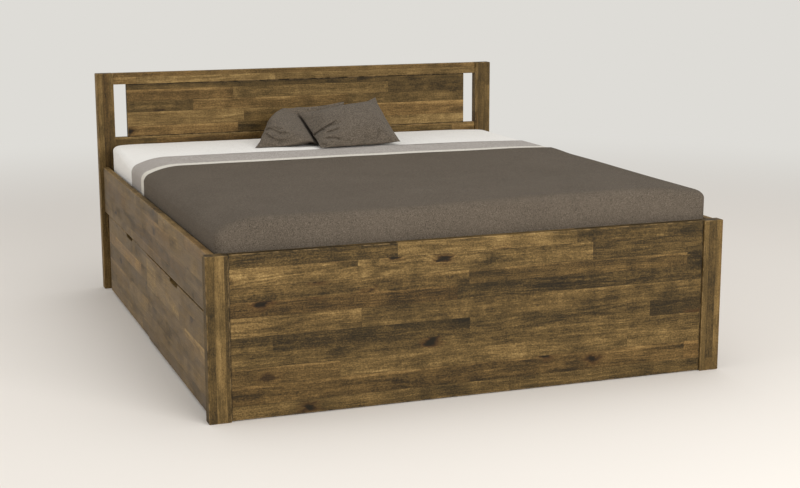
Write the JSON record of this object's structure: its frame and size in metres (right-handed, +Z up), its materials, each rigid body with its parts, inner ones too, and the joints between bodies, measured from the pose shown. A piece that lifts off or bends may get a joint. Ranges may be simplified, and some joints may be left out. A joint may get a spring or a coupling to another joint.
{
  "type": "storage bed with drawers",
  "caption": "Double wooden bed with a slotted headboard, wheeled drawers under both side rails, slatted bases, a mattress and its bedding.",
  "frame": {"origin": "on the floor under the middle of the bed, halfway between the outer faces of the posts", "axes": "+Z up, +Y from the foot end to the headboard, +X to the right of someone who stands at the foot end and faces the headboard"},
  "size_m": [1.88, 2.15, 0.966],
  "materials": {
    "dark_wood": "satin",
    "pale_wood": "matte",
    "steel_plate": "satin",
    "black_plastic": "satin",
    "white_sheet": "matte",
    "checked_wool": "matte",
    "taupe_weave": "matte",
    "taupe_linen": "matte"
  },
  "bodies": {
    "bed_frame": {"foot_post_left": "dark_wood", "foot_post_right": "dark_wood", "head_post_left": "dark_wood", "head_post_right": "dark_wood", "foot_panel": "dark_wood", "head_end_board": "dark_wood", "headboard_top_rail": "dark_wood", "headboard_lower_rail": "dark_wood", "headboard_panel": "dark_wood", "side_rail_left": "dark_wood", "side_rail_right": "dark_wood", "slat_ledge_left": "pale_wood", "slat_ledge_right": "pale_wood", "centre_beam": "pale_wood", "centre_leg": "pale_wood", "beam_hanger_foot": "steel_plate", "beam_hanger_head": "steel_plate", "slatted_base_left": "pale_wood", "slatted_base_right": "pale_wood", "mattress": "white_sheet", "bedspread": "taupe_weave", "plaid_blanket": "checked_wool", "cushion_left": "taupe_linen", "cushion_right": "taupe_linen"},
    "drawer_foot_left": {"drawer_foot_left_front": "dark_wood", "drawer_foot_left_side_foot": "pale_wood", "drawer_foot_left_side_head": "pale_wood", "drawer_foot_left_back": "pale_wood", "drawer_foot_left_bottom": "pale_wood"},
    "drawer_foot_left_wheel_foot_outer": {"drawer_foot_left_wheel_foot_outer": "black_plastic"},
    "drawer_foot_left_wheel_foot_inner": {"drawer_foot_left_wheel_foot_inner": "black_plastic"},
    "drawer_foot_left_wheel_head_outer": {"drawer_foot_left_wheel_head_outer": "black_plastic"},
    "drawer_foot_left_wheel_head_inner": {"drawer_foot_left_wheel_head_inner": "black_plastic"},
    "drawer_head_left": {"drawer_head_left_front": "dark_wood", "drawer_head_left_side_foot": "pale_wood", "drawer_head_left_side_head": "pale_wood", "drawer_head_left_back": "pale_wood", "drawer_head_left_bottom": "pale_wood"},
    "drawer_head_left_wheel_foot_outer": {"drawer_head_left_wheel_foot_outer": "black_plastic"},
    "drawer_head_left_wheel_foot_inner": {"drawer_head_left_wheel_foot_inner": "black_plastic"},
    "drawer_head_left_wheel_head_outer": {"drawer_head_left_wheel_head_outer": "black_plastic"},
    "drawer_head_left_wheel_head_inner": {"drawer_head_left_wheel_head_inner": "black_plastic"},
    "drawer_foot_right": {"drawer_foot_right_front": "dark_wood", "drawer_foot_right_side_foot": "pale_wood", "drawer_foot_right_side_head": "pale_wood", "drawer_foot_right_back": "pale_wood", "drawer_foot_right_bottom": "pale_wood"},
    "drawer_foot_right_wheel_foot_outer": {"drawer_foot_right_wheel_foot_outer": "black_plastic"},
    "drawer_foot_right_wheel_foot_inner": {"drawer_foot_right_wheel_foot_inner": "black_plastic"},
    "drawer_foot_right_wheel_head_outer": {"drawer_foot_right_wheel_head_outer": "black_plastic"},
    "drawer_foot_right_wheel_head_inner": {"drawer_foot_right_wheel_head_inner": "black_plastic"},
    "drawer_head_right": {"drawer_head_right_front": "dark_wood", "drawer_head_right_side_foot": "pale_wood", "drawer_head_right_side_head": "pale_wood", "drawer_head_right_back": "pale_wood", "drawer_head_right_bottom": "pale_wood"},
    "drawer_head_right_wheel_foot_outer": {"drawer_head_right_wheel_foot_outer": "black_plastic"},
    "drawer_head_right_wheel_foot_inner": {"drawer_head_right_wheel_foot_inner": "black_plastic"},
    "drawer_head_right_wheel_head_outer": {"drawer_head_right_wheel_head_outer": "black_plastic"},
    "drawer_head_right_wheel_head_inner": {"drawer_head_right_wheel_head_inner": "black_plastic"}
  },
  "joints": [
    {"name": "drawer_foot_left_slide", "type": "slide", "parent": "bed_frame", "child": "drawer_foot_left", "axis": [-1, 0, 0], "range_m": [0, 0.75]},
    {"name": "drawer_foot_left_wheel_foot_outer_spin", "type": "hinge", "parent": "drawer_foot_left", "child": "drawer_foot_left_wheel_foot_outer", "pos_m": [-0.83, -0.9835, 0.02], "axis": [0, -1, 0], "range_deg": [0, 2150]},
    {"name": "drawer_foot_left_wheel_foot_inner_spin", "type": "hinge", "parent": "drawer_foot_left", "child": "drawer_foot_left_wheel_foot_inner", "pos_m": [-0.176, -0.9835, 0.02], "axis": [0, -1, 0], "range_deg": [0, 2150]},
    {"name": "drawer_foot_left_wheel_head_outer_spin", "type": "hinge", "parent": "drawer_foot_left", "child": "drawer_foot_left_wheel_head_outer", "pos_m": [-0.83, -0.0005, 0.02], "axis": [0, -1, 0], "range_deg": [0, 2150]},
    {"name": "drawer_foot_left_wheel_head_inner_spin", "type": "hinge", "parent": "drawer_foot_left", "child": "drawer_foot_left_wheel_head_inner", "pos_m": [-0.176, -0.0005, 0.02], "axis": [0, -1, 0], "range_deg": [0, 2150]},
    {"name": "drawer_head_left_slide", "type": "slide", "parent": "bed_frame", "child": "drawer_head_left", "axis": [-1, 0, 0], "range_m": [0, 0.75]},
    {"name": "drawer_head_left_wheel_foot_outer_spin", "type": "hinge", "parent": "drawer_head_left", "child": "drawer_head_left_wheel_foot_outer", "pos_m": [-0.826, 0.0905, 0.02], "axis": [0, -1, 0], "range_deg": [0, 2150]},
    {"name": "drawer_head_left_wheel_foot_inner_spin", "type": "hinge", "parent": "drawer_head_left", "child": "drawer_head_left_wheel_foot_inner", "pos_m": [-0.176, 0.0905, 0.02], "axis": [0, -1, 0], "range_deg": [0, 2150]},
    {"name": "drawer_head_left_wheel_head_outer_spin", "type": "hinge", "parent": "drawer_head_left", "child": "drawer_head_left_wheel_head_outer", "pos_m": [-0.826, 0.9115, 0.02], "axis": [0, -1, 0], "range_deg": [0, 2150]},
    {"name": "drawer_head_left_wheel_head_inner_spin", "type": "hinge", "parent": "drawer_head_left", "child": "drawer_head_left_wheel_head_inner", "pos_m": [-0.176, 0.9115, 0.02], "axis": [0, -1, 0], "range_deg": [0, 2150]},
    {"name": "drawer_foot_right_slide", "type": "slide", "parent": "bed_frame", "child": "drawer_foot_right", "axis": [1, 0, 0], "range_m": [0, 0.75]},
    {"name": "drawer_foot_right_wheel_foot_outer_spin", "type": "hinge", "parent": "drawer_foot_right", "child": "drawer_foot_right_wheel_foot_outer", "pos_m": [0.83, -0.9835, 0.02], "axis": [0, 1, 0], "range_deg": [0, 2150]},
    {"name": "drawer_foot_right_wheel_foot_inner_spin", "type": "hinge", "parent": "drawer_foot_right", "child": "drawer_foot_right_wheel_foot_inner", "pos_m": [0.176, -0.9835, 0.02], "axis": [0, 1, 0], "range_deg": [0, 2150]},
    {"name": "drawer_foot_right_wheel_head_outer_spin", "type": "hinge", "parent": "drawer_foot_right", "child": "drawer_foot_right_wheel_head_outer", "pos_m": [0.83, -0.0005, 0.02], "axis": [0, 1, 0], "range_deg": [0, 2150]},
    {"name": "drawer_foot_right_wheel_head_inner_spin", "type": "hinge", "parent": "drawer_foot_right", "child": "drawer_foot_right_wheel_head_inner", "pos_m": [0.176, -0.0005, 0.02], "axis": [0, 1, 0], "range_deg": [0, 2150]},
    {"name": "drawer_head_right_slide", "type": "slide", "parent": "bed_frame", "child": "drawer_head_right", "axis": [1, 0, 0], "range_m": [0, 0.75]},
    {"name": "drawer_head_right_wheel_foot_outer_spin", "type": "hinge", "parent": "drawer_head_right", "child": "drawer_head_right_wheel_foot_outer", "pos_m": [0.826, 0.0905, 0.02], "axis": [0, 1, 0], "range_deg": [0, 2150]},
    {"name": "drawer_head_right_wheel_foot_inner_spin", "type": "hinge", "parent": "drawer_head_right", "child": "drawer_head_right_wheel_foot_inner", "pos_m": [0.176, 0.0905, 0.02], "axis": [0, 1, 0], "range_deg": [0, 2150]},
    {"name": "drawer_head_right_wheel_head_outer_spin", "type": "hinge", "parent": "drawer_head_right", "child": "drawer_head_right_wheel_head_outer", "pos_m": [0.826, 0.9115, 0.02], "axis": [0, 1, 0], "range_deg": [0, 2150]},
    {"name": "drawer_head_right_wheel_head_inner_spin", "type": "hinge", "parent": "drawer_head_right", "child": "drawer_head_right_wheel_head_inner", "pos_m": [0.176, 0.9115, 0.02], "axis": [0, 1, 0], "range_deg": [0, 2150]}
  ],
  "couplings": [
    {"joint": "drawer_foot_left_wheel_foot_outer_spin", "follows": "drawer_foot_left_slide", "rad_per_m": 50},
    {"joint": "drawer_foot_left_wheel_foot_inner_spin", "follows": "drawer_foot_left_slide", "rad_per_m": 50},
    {"joint": "drawer_foot_left_wheel_head_outer_spin", "follows": "drawer_foot_left_slide", "rad_per_m": 50},
    {"joint": "drawer_foot_left_wheel_head_inner_spin", "follows": "drawer_foot_left_slide", "rad_per_m": 50},
    {"joint": "drawer_head_left_wheel_foot_outer_spin", "follows": "drawer_head_left_slide", "rad_per_m": 50},
    {"joint": "drawer_head_left_wheel_foot_inner_spin", "follows": "drawer_head_left_slide", "rad_per_m": 50},
    {"joint": "drawer_head_left_wheel_head_outer_spin", "follows": "drawer_head_left_slide", "rad_per_m": 50},
    {"joint": "drawer_head_left_wheel_head_inner_spin", "follows": "drawer_head_left_slide", "rad_per_m": 50},
    {"joint": "drawer_foot_right_wheel_foot_outer_spin", "follows": "drawer_foot_right_slide", "rad_per_m": 50},
    {"joint": "drawer_foot_right_wheel_foot_inner_spin", "follows": "drawer_foot_right_slide", "rad_per_m": 50},
    {"joint": "drawer_foot_right_wheel_head_outer_spin", "follows": "drawer_foot_right_slide", "rad_per_m": 50},
    {"joint": "drawer_foot_right_wheel_head_inner_spin", "follows": "drawer_foot_right_slide", "rad_per_m": 50},
    {"joint": "drawer_head_right_wheel_foot_outer_spin", "follows": "drawer_head_right_slide", "rad_per_m": 50},
    {"joint": "drawer_head_right_wheel_foot_inner_spin", "follows": "drawer_head_right_slide", "rad_per_m": 50},
    {"joint": "drawer_head_right_wheel_head_outer_spin", "follows": "drawer_head_right_slide", "rad_per_m": 50},
    {"joint": "drawer_head_right_wheel_head_inner_spin", "follows": "drawer_head_right_slide", "rad_per_m": 50}
  ]
}
